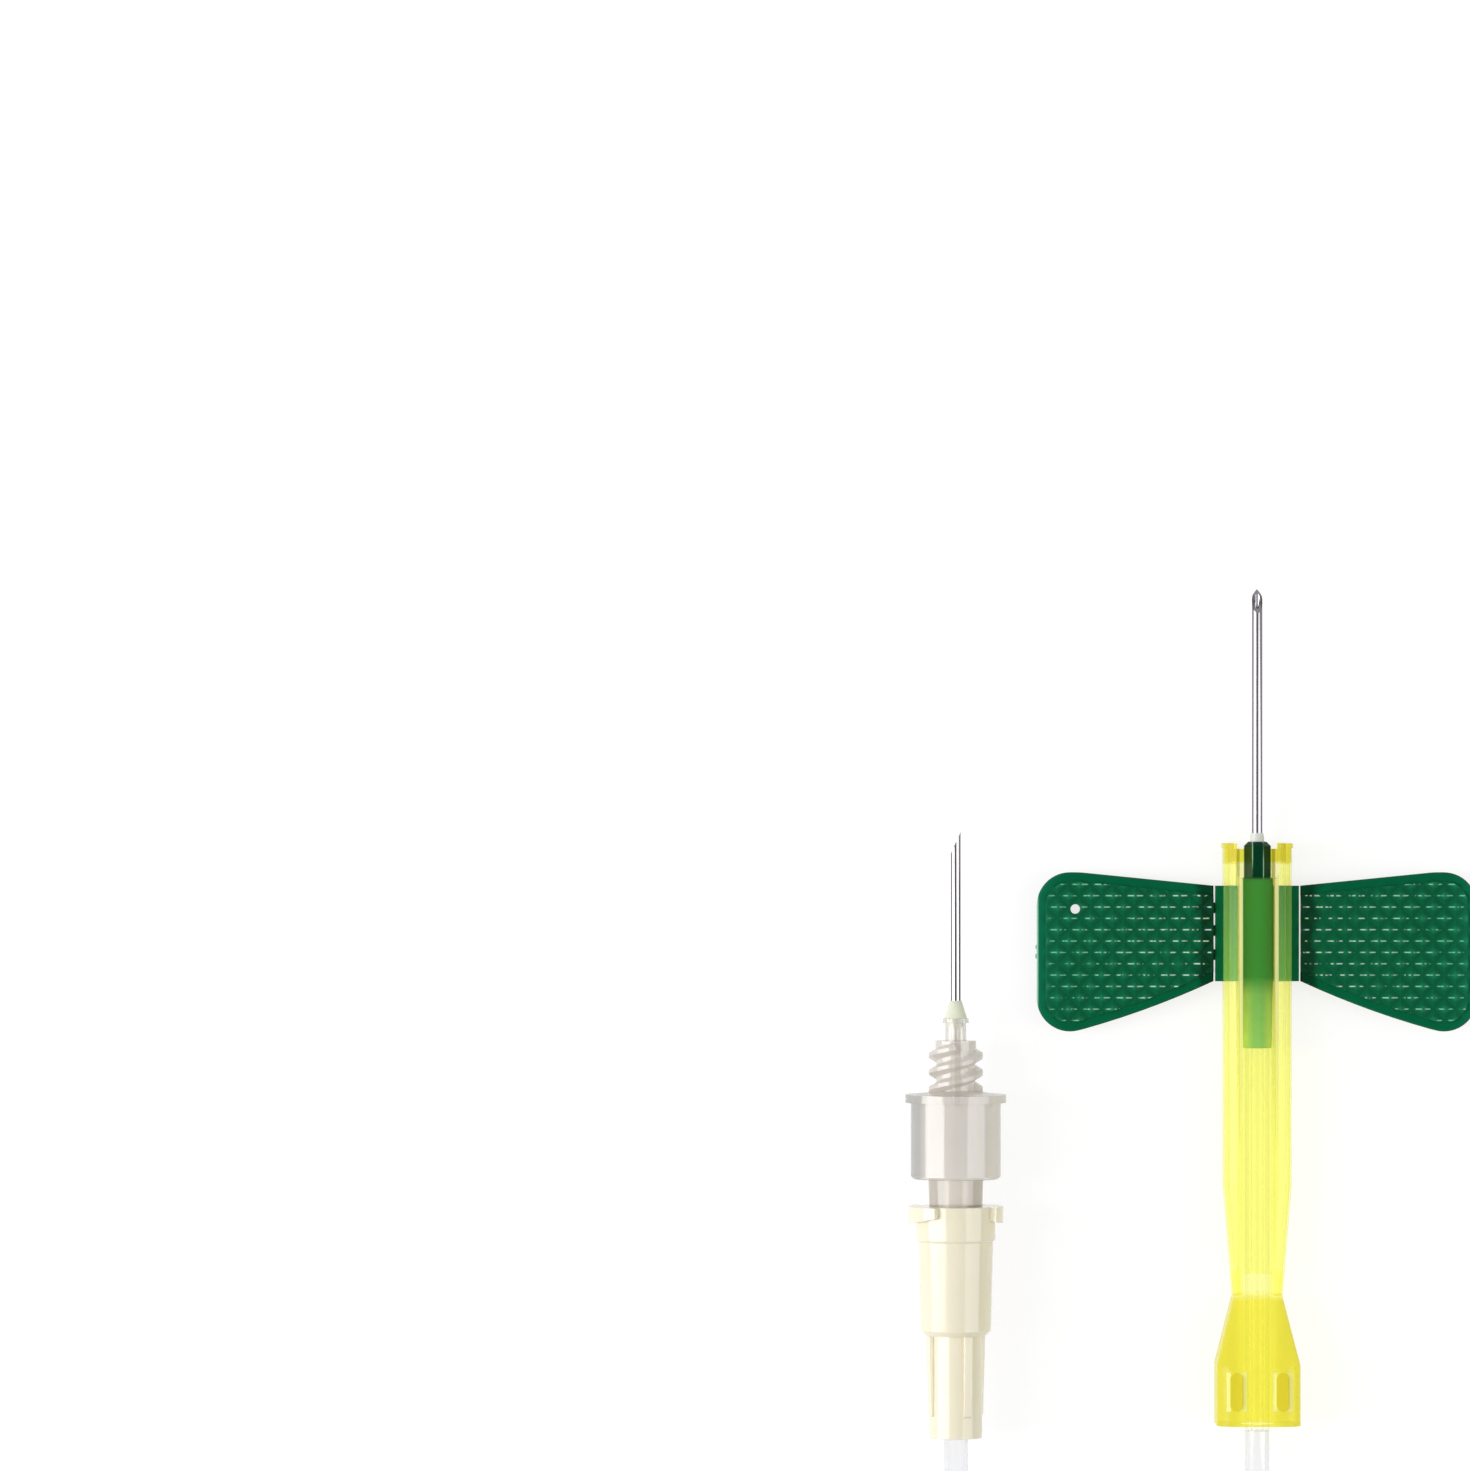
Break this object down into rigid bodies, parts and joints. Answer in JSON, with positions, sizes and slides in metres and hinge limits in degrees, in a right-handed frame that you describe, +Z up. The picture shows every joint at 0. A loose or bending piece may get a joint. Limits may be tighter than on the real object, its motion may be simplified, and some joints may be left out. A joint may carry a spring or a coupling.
{
  "type": "butterfly needle",
  "caption": "Winged blood collection needle with a sliding safety shield, coiled clear tubing and a luer connector with a rear needle.",
  "frame": {"origin": "under the middle of the needle end's own box, on the surface that it lies on", "axes": "+Y the way the vein needle points, +Z up from the surface, +X to the right seen from above"},
  "size_m": [0.0449, 0.1031, 0.0079],
  "materials": {
    "needle_steel": "drawn and polished stainless steel",
    "needle_glue": "cured white adhesive",
    "wing_green": "soft glossy dark green plastic",
    "shield_yellow": "translucent glossy yellow plastic",
    "clear_tube": "clear flexible tubing",
    "luer_cream": "glossy cream plastic",
    "adapter_clear": "frosted clear plastic",
    "rear_glue": "cured pale adhesive"
  },
  "bodies": {
    "hub": {"wing_hub": "wing_green", "needle_cannula": "needle_steel", "needle_adhesive": "needle_glue", "tube_in_shield": "clear_tube", "tube_lead_needle": "clear_tube", "tube_coil": "clear_tube", "tube_lead_luer": "clear_tube", "female_luer": "luer_cream"},
    "shield": {"safety_shield": "shield_yellow"},
    "left_wing": {"wing_left": "wing_green"},
    "right_wing": {"wing_right": "wing_green"},
    "adapter": {"luer_adapter": "adapter_clear", "rear_adhesive": "rear_glue", "rear_needle": "needle_steel"}
  },
  "joints": [
    {"name": "shield_slide", "type": "slide", "parent": "hub", "child": "shield", "axis": [0, 1, 0], "range_m": [0, 0.0245]},
    {"name": "left_wing_fold", "type": "hinge", "parent": "hub", "child": "left_wing", "pos_m": [-0.00335, 0.006, 0.0021], "axis": [0, 1, 0], "range_deg": [0, 90], "stiffness_Nm_per_rad": 0.00002},
    {"name": "right_wing_fold", "type": "hinge", "parent": "hub", "child": "right_wing", "pos_m": [0.00335, 0.006, 0.0021], "axis": [0, -1, 0], "range_deg": [0, 90], "stiffness_Nm_per_rad": 0.00002},
    {"name": "adapter_pull", "type": "slide", "parent": "hub", "child": "adapter", "axis": [0, 1, 0], "range_m": [0, 0.01]}
  ]
}
